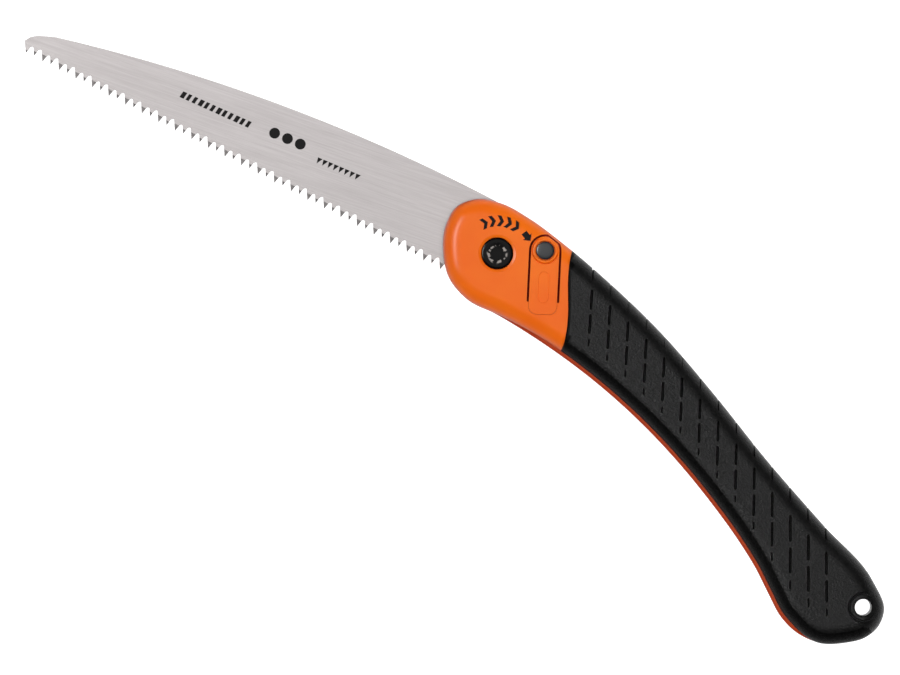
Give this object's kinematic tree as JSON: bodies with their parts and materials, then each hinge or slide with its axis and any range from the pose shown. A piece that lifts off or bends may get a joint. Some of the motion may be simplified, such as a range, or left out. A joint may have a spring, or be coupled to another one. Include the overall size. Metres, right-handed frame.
{
  "type": "folding pruning saw",
  "caption": "Folding pruning saw with a curved pull-cut blade, an orange locking head with a press button, a black rubber grip and a hang hole.",
  "frame": {"origin": "centre of the bottom face of the open saw's box, as it lies on its side", "axes": "+X from the blade's tip to the butt of the handle, +Y to the spine side, +Z along the pivot bolt, up through the side with the button"},
  "size_m": [0.4012, 0.0722, 0.022],
  "materials": {
    "orange_nylon": "satin moulded",
    "black_rubber": "fine matt texture",
    "blade_steel": "ground lengthwise",
    "black_steel": "black oxide",
    "zinc_steel": "zinc plated",
    "bronze": "satin",
    "grey_plastic": "satin moulded"
  },
  "bodies": {
    "handle": {"handle_core": "orange_nylon", "rubber_grip": "black_rubber", "pivot_bolt": "black_steel", "pivot_sleeve": "zinc_steel", "pivot_nut": "zinc_steel", "lock_washer": "zinc_steel", "front_friction_washer": "bronze", "rear_friction_washer": "bronze"},
    "blade": {"saw_blade": "blade_steel"},
    "button": {"lock_pin": "zinc_steel", "button_cap": "grey_plastic"},
    "tongue": {"lock_tongue": "orange_nylon"}
  },
  "joints": [
    {"name": "blade_fold", "type": "hinge", "parent": "handle", "child": "blade", "pos_m": [-0.00325, 0.0177, 0.011], "axis": [0, 0, 1], "range_deg": [0, 157]},
    {"name": "lock_button", "type": "slide", "parent": "handle", "child": "button", "axis": [0, 0, 1], "range_m": [0, 0.0018], "stiffness_N_per_m": 4000, "springref_m": 0.0018},
    {"name": "tongue_flex", "type": "hinge", "parent": "handle", "child": "tongue", "pos_m": [0.02311, 0.01068, 0.0194], "axis": [0.8453, 0.5344, 0], "range_deg": [0, 4.7]}
  ],
  "couplings": [
    {"joint": "tongue_flex", "follows": "lock_button", "rad_per_m": 45.455}
  ]
}
